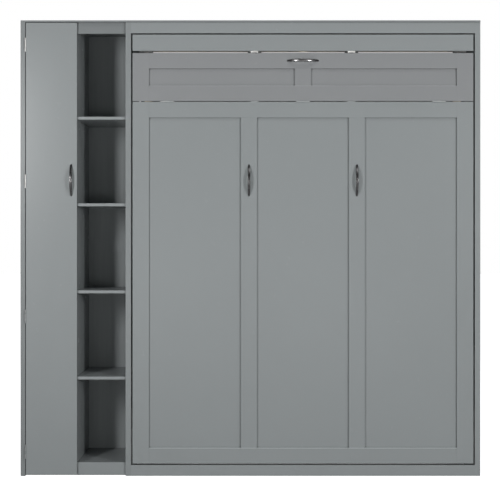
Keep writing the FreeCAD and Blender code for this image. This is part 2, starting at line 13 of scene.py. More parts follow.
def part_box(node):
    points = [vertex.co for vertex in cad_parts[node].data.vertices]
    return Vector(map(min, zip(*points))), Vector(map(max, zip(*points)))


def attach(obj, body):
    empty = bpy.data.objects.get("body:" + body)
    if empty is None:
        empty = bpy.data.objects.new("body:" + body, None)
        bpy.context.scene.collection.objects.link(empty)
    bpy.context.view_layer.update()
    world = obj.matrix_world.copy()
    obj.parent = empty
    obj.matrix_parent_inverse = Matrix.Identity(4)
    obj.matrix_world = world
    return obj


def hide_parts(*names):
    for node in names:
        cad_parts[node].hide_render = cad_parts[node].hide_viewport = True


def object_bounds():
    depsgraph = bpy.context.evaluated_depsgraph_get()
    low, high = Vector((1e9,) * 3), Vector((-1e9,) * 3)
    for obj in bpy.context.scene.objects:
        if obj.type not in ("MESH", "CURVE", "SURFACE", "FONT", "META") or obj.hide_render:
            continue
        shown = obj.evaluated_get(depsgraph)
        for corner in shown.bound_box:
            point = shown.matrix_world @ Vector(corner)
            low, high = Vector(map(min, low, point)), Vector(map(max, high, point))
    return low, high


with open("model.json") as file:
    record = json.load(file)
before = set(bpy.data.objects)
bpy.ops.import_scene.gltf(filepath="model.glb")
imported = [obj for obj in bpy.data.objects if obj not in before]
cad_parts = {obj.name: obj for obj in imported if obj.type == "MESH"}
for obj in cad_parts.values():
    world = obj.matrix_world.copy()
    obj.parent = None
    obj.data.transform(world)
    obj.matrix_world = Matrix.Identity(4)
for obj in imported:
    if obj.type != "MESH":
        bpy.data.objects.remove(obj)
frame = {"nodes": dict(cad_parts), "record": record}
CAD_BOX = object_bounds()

NODES = frame["nodes"]
BODY_OF = {node: body for body, nodes in frame["record"]["behaviour"]["bodies"].items()
           for node in nodes}

# ---------------------------------------------------------------- node material helpers


class Shader:
    """A Principled material being put together from nodes."""

    def __init__(self, name):
        self.material = bpy.data.materials.new(name)
        self.material.use_nodes = True
        self.tree = self.material.node_tree
        self.surface = self.tree.nodes["Principled BSDF"]
        coords = self.tree.nodes.new("ShaderNodeTexCoord")
        self.place = coords.outputs["Object"]

    def node(self, kind, settings=(), **inputs):
        made = self.tree.nodes.new("ShaderNode" + kind)
        for key, value in dict(settings).items():
            setattr(made, key, value)
        for key, value in inputs.items():
            self.feed(made.inputs[key.replace("_", " ")], value)
        return made

    def feed(self, socket, value):
        if isinstance(value, bpy.types.NodeSocket):
            self.tree.links.new(value, socket)
        else:
            socket.default_value = value

    def set(self, **values):
        """Values or sockets for the surface's own inputs."""
        for key, value in values.items():
            self.feed(self.surface.inputs[key.replace("_", " ")], value)

    def stretched(self, scale):
        """The object coordinates, stretched by a factor along each axis."""
        return self.node("Mapping", Vector=self.place, Scale=scale).outputs["Vector"]

    def noise(self, scale, detail=2.0, rough=0.5, distortion=0.0, place=None):
        made = self.node("TexNoise", Vector=place or self.place, Scale=scale, Detail=detail,
                         Roughness=rough, Distortion=distortion)
        return made.outputs["Fac"]

    def ramp(self, factor, stops):
        """A colour ramp. Stops are (position, colour or grey level)."""
        made = self.node("ValToRGB", Fac=factor)
        elements = made.color_ramp.elements
        while len(elements) < len(stops):
            elements.new(0.5)
        for element, (position, colour) in zip(elements, stops):
            element.position = position
            if not hasattr(colour, "__len__"):
                colour = (colour,) * 3
            element.color = (*colour, 1.0)
        return made.outputs["Color"]

    def levels(self, factor, low, high, start=0.3, end=0.7):
        """factor, from start to end, spread over low to high."""
        made = self.node("MapRange", Value=factor, From_Min=start, From_Max=end,
                         To_Min=low, To_Max=high)
        return made.outputs["Result"]

    def maths(self, operation, first, second=0.0):
        made = self.tree.nodes.new("ShaderNodeMath")
        made.operation = operation
        self.feed(made.inputs[0], first)
        self.feed(made.inputs[1], second)
        return made.outputs[0]

    def mix(self, factor, first, second):
        """First where factor is 0, second where it is 1."""
        made = self.tree.nodes.new("ShaderNodeMix")
        made.data_type = "RGBA"
        self.feed(made.inputs["Factor"], factor)
        for socket, value in ((made.inputs[6], first), (made.inputs[7], second)):
            self.feed(socket, value if isinstance(value, bpy.types.NodeSocket)
                      else (*value, 1.0))
        return made.outputs[2]

    def bump(self, height, strength, distance, under=None):
        made = self.node("Bump", Height=height, Strength=strength, Distance=distance)
        if under is not None:
            self.feed(made.inputs["Normal"], under)
        return made.outputs["Normal"]

    def edge_mask(self, radius):
        """1 on the edges of a piece, fading to 0 within radius of them."""
        soft = self.node("Bevel", {"samples": 4}, Radius=radius).outputs["Normal"]
        flat = self.node("NewGeometry").outputs["Normal"]
        made = self.tree.nodes.new("ShaderNodeVectorMath")
        made.operation = "DOT_PRODUCT"
        self.feed(made.inputs[0], soft)
        self.feed(made.inputs[1], flat)
        return self.levels(made.outputs["Value"], 1.0, 0.0, 0.75, 0.995)


def scaled(colour, factor):
    return tuple(channel * factor for channel in colour)


# ---------------------------------------------------------------- materials

PAINT = (0.262, 0.281, 0.285)
# The leg flap's paint: a slightly darker, warmer copy of PAINT, painted shade.
FLAP_PAINT_SHADED = (0.250, 0.258, 0.264)
PALE_EDGE = (0.47, 0.455, 0.458)
SATIN = 0.27

BED_CENTRE = sum(corner.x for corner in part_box("main_sheet")) / 2
FOLD_HINGE_OFFSET = 0.2335   # of the upper fold line's middle hinges, from the bed's centre
HALF_KNUCKLE = 0.018
DOOR_HINGE_LIMIT = -1.0      # hinges to the left of this are the closet door's
UPPER_FOLD_LEVEL = 1.95      # hinges above this are on the upper fold line
DOOR_MID_LEVEL = 1.0


def paint(name, colour, painted_light_above=None, painted_light_factor=0.2):
    """Satin furniture paint laid on with a fine roller: orange-peel surface, slight cloudiness,
    random darker blotches, edges a little paler where the coat is thin, and painted shade in
    recesses and narrow gaps. Above a given level, the piece's upper edge is a given factor
    times as bright: painted shade below 1, painted highlight above 1."""
    s = Shader(name)
    cloud = s.noise(1.6, detail=3.0)
    tone = s.ramp(cloud, [(0.3, scaled(colour, 0.985)), (0.7, scaled(colour, 1.015))])
    grime = s.noise(14.0, detail=5.0, rough=0.6)
    tone = s.mix(s.levels(grime, 0.0, 0.06, 0.5, 0.8), tone, scaled(colour, 0.9))
    edge = s.edge_mask(0.0022)
    thin = s.maths("MULTIPLY", edge, s.levels(s.noise(90.0, detail=3.0), 0.0, 0.3, 0.42, 0.7))
    tone = s.mix(thin, tone, scaled(colour, 1.25))
    # Painted shade: darker where ambient occlusion finds recesses and narrow gaps.
    painted_recess_shade = s.node("AmbientOcclusion", {"samples": 6}, Distance=0.012).outputs["AO"]
    tone = s.mix(s.levels(painted_recess_shade, 0.75, 0.0, 0.2, 0.6), tone, scaled(colour, 0.1))
    # Painted light along the piece's upper edge above the given level: darker for painted
    # shade, brighter for painted highlight.
    if painted_light_above is not None:
        _, _, up = s.node("SeparateXYZ", Vector=s.place).outputs
        tone = s.mix(s.maths("GREATER_THAN", up, painted_light_above), tone, scaled(colour, painted_light_factor))
    sheen_marks = s.noise(30.0, detail=4.0, rough=0.6)
    rough = s.levels(sheen_marks, SATIN - 0.003, SATIN + 0.004)
    peel = s.noise(620.0, detail=2.0, rough=0.45)
    wave = s.noise(60.0, detail=1.0)
    normal = s.bump(wave, 0.012, 0.0002)
    normal = s.bump(peel, 0.05, 0.0002, under=normal)
    s.set(Base_Color=tone, Roughness=rough, Normal=normal, Specular_IOR_Level=0.16)
    return s.material


def panel_paint(name, colour):
    """Thin painted back panel: flatter, drier paint over a faint wood grain."""
    s = Shader(name)
    grain = s.noise(60.0, detail=5.0, rough=0.6, place=s.stretched((1.0, 1.0, 0.05)))
    tone = s.ramp(grain, [(0.35, scaled(colour, 0.95)), (0.65, scaled(colour, 1.03))])
    normal = s.bump(grain, 0.18, 0.0006)
    normal = s.bump(s.noise(500.0), 0.15, 0.0002, under=normal)
    s.set(Base_Color=tone, Roughness=s.levels(grain, 0.55, 0.68), Normal=normal,
          Specular_IOR_Level=0.3)
    return s.material


def pine(name, along):
    """Sanded softwood with its grain along one axis ("x" or "z"), knots and end checks."""
    s = Shader(name)
    squeeze = {"x": (0.045, 1.0, 1.0), "z": (1.0, 1.0, 0.045)}[along]
    place = s.stretched(squeeze)
    figure = s.noise(26.0, detail=3.0, rough=0.55, distortion=1.1, place=place)
    rings = s.node("TexWave", {"wave_type": "RINGS", "rings_direction": along.upper()},
                   Vector=place, Scale=9.0, Distortion=7.0, Detail=3.0, Detail_Scale=1.4,
                   Detail_Roughness=0.6).outputs["Fac"]
    tone = s.ramp(rings, [(0.1, (0.74, 0.65, 0.51)), (0.55, (0.82, 0.74, 0.61)),
                          (0.95, (0.66, 0.55, 0.40))])
    tone = s.mix(s.levels(figure, 0.0, 0.5), tone, (0.82, 0.75, 0.63))
    knots = s.node("TexVoronoi", {"feature": "F1"}, Vector=s.stretched((1.0, 2.2, 1.0)),
                   Scale=3.1, Randomness=1.0).outputs["Distance"]
    knot = s.levels(knots, 1.0, 0.0, 0.035, 0.075)
    tone = s.mix(s.maths("MULTIPLY", knot, 0.85), tone, (0.26, 0.14, 0.07))
    fibre = s.noise(420.0, detail=3.0, place=place)
    normal = s.bump(rings, 0.12, 0.0006)
    normal = s.bump(fibre, 0.22, 0.0003, under=normal)
    s.set(Base_Color=tone, Roughness=s.levels(fibre, 0.5, 0.7), Normal=normal,
          Specular_IOR_Level=0.35)
    return s.material


def hinge_steel(name):
    """Satin nickel hinge leaves. The closet door's lower two and those on the lower fold line
    are dulled in patches to greys of the cabinet paint: painted shade. On the upper fold line
    only the middle pair's knuckles are bright steel, and the rest is painted near black:
    painted shade."""
    s = Shader(name)
    across, _, up = s.node("SeparateXYZ", Vector=s.place).outputs
    off_centre = s.maths("ABSOLUTE", s.maths("SUBTRACT", across, BED_CENTRE))
    off_knuckle = s.maths("ABSOLUTE", s.maths("SUBTRACT", off_centre, FOLD_HINGE_OFFSET))
    on_door = s.maths("LESS_THAN", across, DOOR_HINGE_LIMIT)
    on_bed = s.maths("SUBTRACT", 1.0, on_door)
    upper_fold = s.maths("MULTIPLY", on_bed, s.maths("GREATER_THAN", up, UPPER_FOLD_LEVEL))
    # Painted shade: the upper fold line's knuckles, all but the middle pair, darkened nearly to
    # black.
    black = s.maths("MULTIPLY", upper_fold,
                    s.maths("GREATER_THAN", off_knuckle, HALF_KNUCKLE))
    # Painted shade: the closet door's lower hinges and the lower fold line's hinges, dulled to
    # paint greys.
    door_low = s.maths("MULTIPLY", on_door, s.maths("LESS_THAN", up, DOOR_MID_LEVEL))
    lower_fold = s.maths("MULTIPLY", on_bed, s.maths("LESS_THAN", up, UPPER_FOLD_LEVEL))
    painted_dull_hinges = s.maths("MAXIMUM", door_low, lower_fold)
    brushed = s.noise(1400.0, detail=2.0, place=s.stretched((0.05, 1.0, 1.0)))
    smudge = s.noise(45.0, detail=4.0, rough=0.6)
    patchy = s.maths("MULTIPLY", painted_dull_hinges, s.levels(smudge, 0.72, 1.0, 0.35, 0.6))
    steel = s.ramp(smudge, [(0.35, (0.70, 0.69, 0.67)), (0.65, (0.82, 0.81, 0.79))])
    steel = s.mix(patchy, steel, s.mix(lower_fold, scaled(PAINT, 0.8), scaled(PAINT, 1.2)))
    painted_black_knuckles = s.maths("MULTIPLY", black, s.levels(smudge, 0.85, 1.0))
    s.set(Base_Color=s.mix(painted_black_knuckles, steel, (0.03, 0.03, 0.031)),
          Metallic=s.levels(patchy, 0.55, 0.0, 0.0, 1.0),
          Roughness=s.maths("ADD", s.levels(brushed, 0.30, 0.42),
                            s.maths("MULTIPLY", patchy, 0.2)),
          Normal=s.bump(brushed, 0.2, 0.00008))
    return s.material


def dark_nickel(name, highlight_boost=1.0):
    """Satin dark nickel with hairlines, faint prints and rubbed edges. The base colour is
    scaled by a factor; above 1 it is a brightened copy for brighter highlights: painted
    highlight.
    """
    s = Shader(name)
    prints = s.noise(120.0, detail=5.0, rough=0.65, distortion=0.6)
    hair = s.noise(2600.0, detail=1.0, place=s.stretched((1.0, 1.0, 0.08)))
    # A factor above 1 gives a brightened copy: painted highlight.
    tone = s.ramp(prints, [(0.3, scaled((0.095, 0.094, 0.096), highlight_boost)),
                           (0.7, scaled((0.125, 0.123, 0.123), highlight_boost))])
    rubbed = s.maths("MULTIPLY", s.edge_mask(0.0012), 0.35)
    tone = s.mix(rubbed, tone, (0.34, 0.33, 0.32))
    rough = s.maths("ADD", s.levels(prints, 0.23, 0.30), s.levels(hair, 0.0, 0.03))
    s.set(Base_Color=tone, Metallic=1.0, Roughness=rough, Normal=s.bump(hair, 0.06, 0.00004))
    return s.material


def powder_coat(name, colour):
    """Black powder coat: fine pebbled surface, paler on rubbed edges."""
    s = Shader(name)
    pebble = s.noise(900.0, detail=2.0)
    dust = s.noise(22.0, detail=4.0, rough=0.6)
    tone = s.ramp(dust, [(0.35, colour), (0.75, scaled(colour, 2.1))])
    rubbed = s.maths("MULTIPLY", s.edge_mask(0.0012), s.levels(dust, 0.0, 0.5, 0.4, 0.6))
    tone = s.mix(rubbed, tone, (0.22, 0.22, 0.22))
    s.set(Base_Color=tone, Roughness=s.levels(dust, 0.42, 0.58),
          Normal=s.bump(pebble, 0.3, 0.0002), Specular_IOR_Level=0.5)
    return s.material


def chrome_rod(name):
    """Hard-chromed piston rod with a film of oil."""
    s = Shader(name)
    film = s.noise(70.0, detail=4.0, place=s.stretched((1.0, 1.0, 0.2)))
    tone = s.ramp(film, [(0.3, (0.62, 0.62, 0.63)), (0.7, (0.74, 0.74, 0.75))])
    s.set(Base_Color=tone, Metallic=1.0, Roughness=s.levels(film, 0.07, 0.17),
          Normal=s.bump(s.noise(2200.0, place=s.stretched((1.0, 1.0, 8.0))), 0.04, 0.00003))
    return s.material


def knit(name, colour):
    """Off-white stretch knit of a mattress cover: rows of small loops and a soft nap."""
    s = Shader(name)
    rows = s.node("TexWave", {"wave_type": "BANDS", "bands_direction": "X"}, Vector=s.place,
                  Scale=105.0, Distortion=1.2, Detail=1.0, Detail_Scale=3.0).outputs["Fac"]
    courses = s.node("TexWave", {"wave_type": "BANDS", "bands_direction": "Z"}, Vector=s.place,
                     Scale=150.0, Distortion=1.2, Detail=1.0, Detail_Scale=3.0).outputs["Fac"]
    loops = s.maths("MULTIPLY", rows, courses)
    fluff = s.noise(260.0, detail=4.0, rough=0.65)
    cloud = s.noise(3.0, detail=3.0)
    tone = s.ramp(cloud, [(0.3, scaled(colour, 0.95)), (0.7, colour)])
    tone = s.mix(s.levels(loops, 0.0, 0.28, 0.2, 0.8), tone, scaled(colour, 0.84))
    normal = s.bump(loops, 0.35, 0.0006)
    normal = s.bump(fluff, 0.3, 0.0005, under=normal)
    s.set(Base_Color=tone, Roughness=s.levels(fluff, 0.82, 0.95), Normal=normal,
          Sheen_Weight=0.35, Sheen_Roughness=0.5, Specular_IOR_Level=0.2)
    return s.material


def webbing(name, colour):
    """Woven nylon strap: diagonal ribs and a slight sheen."""
    s = Shader(name)
    ribs = s.node("TexWave", {"wave_type": "BANDS", "bands_direction": "DIAGONAL"},
                  Vector=s.place, Scale=230.0, Distortion=0.4, Detail=1.0).outputs["Fac"]
    wear = s.noise(35.0, detail=4.0)
    tone = s.ramp(ribs, [(0.2, scaled(colour, 0.6)), (0.8, scaled(colour, 1.5))])
    tone = s.mix(s.levels(wear, 0.0, 0.25, 0.45, 0.75), tone, scaled(colour, 2.4))
    s.set(Base_Color=tone, Roughness=s.levels(wear, 0.55, 0.75),
          Normal=s.bump(ribs, 0.5, 0.0005), Sheen_Weight=0.25, Sheen_Roughness=0.4,
          Specular_IOR_Level=0.3)
    return s.material


MATERIALS = {
    "paint": paint("paint_cabinet", PAINT),
    # The flap's paint is a slightly darker copy of the cabinet paint: painted shade.
    "paint_flap": paint("paint_flap", FLAP_PAINT_SHADED),
    # paint_rail, paint_plinth, paint_front, paint_door and paint_shared are darker copies of
    # the cabinet paint for single pieces: painted shade.
    "paint_rail": paint("paint_column_rail_painted_shade", scaled(PAINT, 0.76)),
    "paint_plinth": paint("paint_column_plinth_painted_shade", scaled(PAINT, 0.96)),
    "paint_edge": paint("paint_edge_band", PALE_EDGE),
    "paint_front": paint("paint_front_edges_painted_shade", scaled(PAINT, 0.82)),
    "paint_door": paint("paint_closet_door_painted_shade", scaled(PAINT, 0.98)),
    "paint_shared": paint("paint_shared_side_painted_shade", scaled(PAINT, 0.92)),
    # The bottom rail's top edge darkened to a fifth: painted shade in the gap under the bed's
    # face.
    "paint_low": paint("paint_bottom_rail_painted_shade", PAINT,
                       painted_light_above=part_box("bed_bottom_rail")[1].z - 0.0009),
    # The two bottom recess rails brightened along their top edge: painted highlight on the
    # ledges.
    "paint_main_ledge": paint("paint_main_ledge", PAINT, painted_light_factor=2.2,
                              painted_light_above=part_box("main_rail_bottom")[1].z - 0.0012),
    "paint_flap_ledge": paint("paint_flap_ledge", FLAP_PAINT_SHADED, painted_light_factor=1.9,
                              painted_light_above=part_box("flap_rail_bottom")[1].z - 0.0012),
    "panel": panel_paint("paint_back_panel", scaled(PAINT, 1.02)),
    "pine_x": pine("pine_slats", "x"),
    "pine_z": pine("pine_beams", "z"),
    "hinge": hinge_steel("satin_nickel"),
    "handle": dark_nickel("dark_nickel"),
    # The flap pull's copy with doubled base colour, for brighter highlights: painted highlight.
    "handle_boosted_highlight": dark_nickel("dark_nickel_boosted_highlight", highlight_boost=2.0),
    "coat": powder_coat("black_powder_coat", (0.022, 0.022, 0.024)),
    "rod": chrome_rod("piston_chrome"),
    "knit": knit("mattress_knit", (0.80, 0.79, 0.755)),
    "piping": knit("mattress_piping", (0.62, 0.63, 0.64)),
    "strap": webbing("strap_webbing", (0.028, 0.028, 0.032)),
}

# The material of each slot's CAD nodes, and the nodes that differ from their slot
SLOT_LOOK = {
    "painted_wood": "paint", "back_panel": "panel", "slat_wood": "pine_x",
    "hinge_steel": "hinge", "handle_metal": "handle", "black_steel": "coat",
    "rod_chrome": "rod", "mattress_fabric": "knit", "strap_webbing": "strap",
}
NODE_LOOK = {
    "top_board": "paint_front", "closet_side": "paint_front", "shared_side": "paint_shared",
    "closet_door": "paint_door", "column_top_rail": "paint_rail",
    "column_plinth": "paint_plinth", "bed_bottom_rail": "paint_low",
    "main_rail_bottom": "paint_main_ledge", "flap_rail_bottom": "paint_flap_ledge",
    "deck_beams": "pine_z",
}

# Rounding of the edges of each kind of piece
EDGE_ROUNDING = {"paint": 0.0007, "panel": 0.0005, "pine": 0.002, "hinge": 0.00025,
                 "coat": 0.0006, "rod": 0.0005}


def finish_cad_nodes():
    """Gives every carried-over CAD node its material and rounds its edges."""
    slots = {row["node"]: row["material_slot"] for row in frame["record"]["subparts"]}
    for name, piece in NODES.items():
        look = NODE_LOOK.get(name) or SLOT_LOOK[slots[name]]
        if name.startswith("flap_") and look == "paint":
            look = "paint_flap"
        piece.data.materials.clear()
        piece.data.materials.append(MATERIALS[look])
        weld = piece.modifiers.new("weld", "WELD")
        weld.merge_threshold = 0.00002
        kind = look.split("_")[0]
        if kind in EDGE_ROUNDING:
            rounding = piece.modifiers.new("rounding", "BEVEL")
            rounding.width = EDGE_ROUNDING[kind]
            rounding.segments = 2
            rounding.limit_method = "ANGLE"
            rounding.angle_limit = math.radians(40)
            rounding.harden_normals = True
            rounding.miter_outer = "MITER_ARC"


# ---------------------------------------------------------------- mesh helpers


def new_piece(name, vertices, faces, look, smooth=True):
    """A mesh object of the scene, in one of the materials."""
    mesh = bpy.data.meshes.new(name)
    mesh.from_pydata([tuple(v) for v in vertices], [], faces)
    mesh.validate()
    piece = bpy.data.objects.new(name, mesh)
    bpy.context.scene.collection.objects.link(piece)
    mesh.materials.append(MATERIALS[look])
    if smooth:
        mesh.shade_smooth()
    return piece


def ring_faces(rings, around, closed=False):
    """Quads between successive rings of points."""
    faces = []
    count = rings if closed else rings - 1
    for i in range(count):
        j = (i + 1) % rings
        for k in range(around):
            n = (k + 1) % around
            faces.append((i * around + k, i * around + n, j * around + n, j * around + k))
    return faces


def arc_depth(offset, half_chord, rise):
    """Height above its chord of a circular arc, at an offset from the middle."""
    radius = (half_chord ** 2 + rise ** 2) / (2 * rise)
    return math.sqrt(max(radius ** 2 - offset ** 2, 0.0)) - (radius - rise)


# ---------------------------------------------------------------- pull handles


BOW_THICKNESS = 0.0085
BOW_FOOT = 0.010


def bow_handle(name, node, upright, look="handle"):
    """A bow pull with a rounded section, lofted between the inner and outer arcs of the node's
    own size. Its feet lie on the face it is screwed to."""
    low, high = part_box(node)
    middle = (low + high) / 2
    size = high - low
    length, width = (size.z, size.x) if upright else (size.x, size.z)
    reach = size.y
    half, inner_half = length / 2, length / 2 - BOW_FOOT
    stations, around = 61, 24
    vertices = []
    for i in range(stations):
        t = -math.cos(math.pi * i / (stations - 1))
        outer = (t * half, arc_depth(t * half, half, reach))
        inner = (t * inner_half, arc_depth(t * inner_half, inner_half, reach - BOW_THICKNESS))
        spread = 0.66 + 0.34 * (1 - t * t)
        for k in range(around):
            turn = 2 * math.pi * k / around
            c, s = math.cos(turn), math.sin(turn)
            across = width / 2 * spread * math.copysign(abs(s) ** 0.48, s)
            depth = 0.5 + 0.5 * math.copysign(abs(c) ** 0.5, c)
            along = inner[0] + (outer[0] - inner[0]) * depth
            out = inner[1] + (outer[1] - inner[1]) * depth
            place = (across, -out, along) if upright else (along, -out, across)
            vertices.append((middle.x + place[0], high.y + place[1], middle.z + place[2]))
    faces = ring_faces(stations, around)
    faces.append(tuple(range(around)))
    faces.append(tuple(range((stations - 1) * around, stations * around))[::-1])
    piece = new_piece(name, vertices, faces, look)
    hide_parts(node)
    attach(piece, BODY_OF[node])


def build_edge_band():
    """The pale band along the top edge of the leg flap, between the outer fold hinges."""
    low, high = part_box("flap_rail_top")
    half_length = 0.731
    lows = (BED_CENTRE - half_length, low.y + 0.0006, high.z + 0.0002)
    highs = (BED_CENTRE + half_length, low.y + 0.0036, high.z + 0.0046)
    vertices = [(x, y, z) for x in (lows[0], highs[0]) for y in (lows[1], highs[1])
                for z in (lows[2], highs[2])]
    faces = [(0, 1, 3, 2), (4, 6, 7, 5), (0, 4, 5, 1), (2, 3, 7, 6), (0, 2, 6, 4), (1, 5, 7, 3)]
    piece = new_piece("flap_edge_band", vertices, faces, "paint_edge", smooth=False)
    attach(piece, "leg_flap")


# ---------------------------------------------------------------- mattress

SIM_FRAMES = 20

def apply_modifiers(piece):
    """Makes the mesh with its modifiers on the piece's own mesh."""
    graph = bpy.context.evaluated_depsgraph_get()
    mesh = bpy.data.meshes.new_from_object(piece.evaluated_get(graph))
    piece.modifiers.clear()
    piece.data = mesh


def points_of(piece):
    """The piece's vertices as rows of an array."""
    points = np.empty(len(piece.data.vertices) * 3)
    piece.data.vertices.foreach_get("co", points)
    return points.reshape(-1, 3)


def inflate(piece, pressure, cap):
    """Blows the closed mesh up as cloth, then holds each point within cap of where it was."""
    rest = points_of(piece)
    cloth = piece.modifiers.new("cloth", "CLOTH")
    cloth.settings.quality = 5
    cloth.settings.mass = 0.25
    cloth.settings.tension_stiffness = 30
    cloth.settings.compression_stiffness = 30
    cloth.settings.bending_stiffness = 2
    cloth.settings.use_pressure = True
    cloth.settings.uniform_pressure_force = pressure
    cloth.settings.effector_weights.gravity = 0
    cloth.point_cache.frame_start = 1
    cloth.point_cache.frame_end = SIM_FRAMES
    for step in range(1, SIM_FRAMES + 1):
        bpy.context.scene.frame_set(step)
    apply_modifiers(piece)
    bpy.context.scene.frame_set(1)
    moved = points_of(piece) - rest
    reach = np.linalg.norm(moved, axis=1, keepdims=True)
    moved *= np.minimum(1.0, cap / np.maximum(reach, 1e-9))
    piece.data.vertices.foreach_set("co", (rest + moved).ravel())
    piece.data.update()


def rounded_block(low, high, radius, voxel):
    """A closed block with rounded edges, remeshed to even quads."""
    form = bmesh.new()
    bmesh.ops.create_cube(form, size=1.0)
    middle, size = (low + high) / 2, high - low
    for v in form.verts:
        v.co = Vector(middle[i] + v.co[i] * size[i] for i in range(3))
    bmesh.ops.bevel(form, geom=form.edges[:], offset=radius, segments=4, profile=0.5,
                    affect="EDGES")
    mesh = bpy.data.meshes.new("mattress")
    form.to_mesh(mesh)
    form.free()
    piece = bpy.data.objects.new("mattress_cover", mesh)
    bpy.context.scene.collection.objects.link(piece)
    remesh = piece.modifiers.new("remesh", "REMESH")
    remesh.mode = "VOXEL"
    remesh.voxel_size = voxel
    apply_modifiers(piece)
    return piece


def build_mattress():
    """The mattress: swollen by cloth pressure, flat on its slats and against its rails,
    quilted on the sleeping side."""
    low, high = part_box("mattress")
    inset = Vector((0.010, 0.010, 0.010))
    piece = rounded_block(low + inset, high - inset, 0.034, 0.021)
    inflate(piece, 4.0, 0.014)
    smooth = piece.modifiers.new("smooth", "SUBSURF")
    smooth.levels = smooth.render_levels = 1
    apply_modifiers(piece)

    points = points_of(piece)
    margin = np.array((0.0006, 0.0006, 0.0006))
    points = np.clip(points, np.array(low) + margin, np.array(high) + margin * (1, 6, 1))
    pitch, depth, border = 0.168, 0.0065, 0.055
    middle = (np.array(low) + np.array(high)) / 2
    half = (np.array(high) - np.array(low)) / 2
    u = (points[:, 0] - middle[0] + points[:, 2] - middle[2]) / (pitch * math.sqrt(2))
    v = (points[:, 0] - middle[0] - points[:, 2] + middle[2]) / (pitch * math.sqrt(2))
    pillow = np.minimum(np.abs(np.sin(math.pi * u)), np.abs(np.sin(math.pi * v))) ** 0.55
    edge = np.minimum(half[0] - np.abs(points[:, 0] - middle[0]),
                      half[2] - np.abs(points[:, 2] - middle[2]))
    inside = np.clip((edge - border) / 0.02, 0, 1)
    ring = np.exp(-((edge - border) / 0.007) ** 2)
    top = np.clip((points[:, 1] - (high.y - 0.035)) / 0.02, 0, 1)
    points[:, 1] -= top * depth * (inside * (1 - pillow) + 0.8 * ring)
    piece.data.vertices.foreach_set("co", points.ravel())
    piece.data.materials.clear()
    piece.data.materials.append(MATERIALS["knit"])
    piece.data.shade_smooth()
    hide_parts("mattress")
    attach(piece, "bed")
    return piece


def build_piping(cover):
    """A welt cord sewn round the top and the bottom edge of the mattress."""
    low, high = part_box("mattress")
    tree = BVHTree.FromPolygons([v.co.copy() for v in cover.data.vertices],
                                [tuple(p.vertices) for p in cover.data.polygons])
    middle, half = (low + high) / 2, (high - low) / 2
    radius, around, corner = 0.0042, 10, 0.06
    for name, side in (("mattress_piping_top", 1), ("mattress_piping_bottom", -1)):
        path = []
        for sx, sz, start in ((1, 1, 0), (-1, 1, 90), (-1, -1, 180), (1, -1, 270)):
            for step in range(13):
                turn = math.radians(start + 90 * step / 12)
                path.append((middle.x + sx * (half.x - corner) + corner * math.cos(turn),
                             middle.z + sz * (half.z - corner) + corner * math.sin(turn)))
        dense = []
        for i, (x, z) in enumerate(path):
            nx, nz = path[(i + 1) % len(path)]
            steps = max(1, int(math.hypot(nx - x, nz - z) / 0.02))
            dense += [(x + (nx - x) * k / steps, z + (nz - z) * k / steps)
                      for k in range(steps)]
        line = []
        edge_y = high.y - 0.014 if side > 0 else low.y + 0.014
        for x, z in dense:
            aim = Vector((middle.x + (x - middle.x) * 0.97, edge_y - side * 0.05,
                          middle.z + (z - middle.z) * 0.97))
            start = Vector((x, edge_y + side * 0.03, z))
            start += Vector((x - middle.x, 0, z - middle.z)).normalized() * 0.03
            hit = tree.ray_cast(start, (aim - start).normalized())[0]
            line.append(hit if hit is not None else Vector((x, edge_y, z)))
        vertices = []
        for i, point in enumerate(line):
            along = (line[(i + 1) % len(line)] - line[i - 1]).normalized()
            out = along.cross(Vector((0, 1, 0))).normalized()
            up = along.cross(out).normalized()
            for k in range(around):
                turn = 2 * math.pi * k / around
                vertices.append(point + (out * math.cos(turn) + up * math.sin(turn)) * radius)
        for v in vertices:
            v.x = min(max(v.x, low.x + 0.0004), high.x - 0.0004)
            v.y = min(max(v.y, low.y + 0.0004), high.y + 0.0040)
            v.z = min(max(v.z, low.z + 0.0004), high.z - 0.0004)
        piece = new_piece(name, vertices, ring_faces(len(line), around, closed=True), "piping")
        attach(piece, "bed")


# ---------------------------------------------------------------- straps

STRAP_LEVELS = (0.760, 1.480)

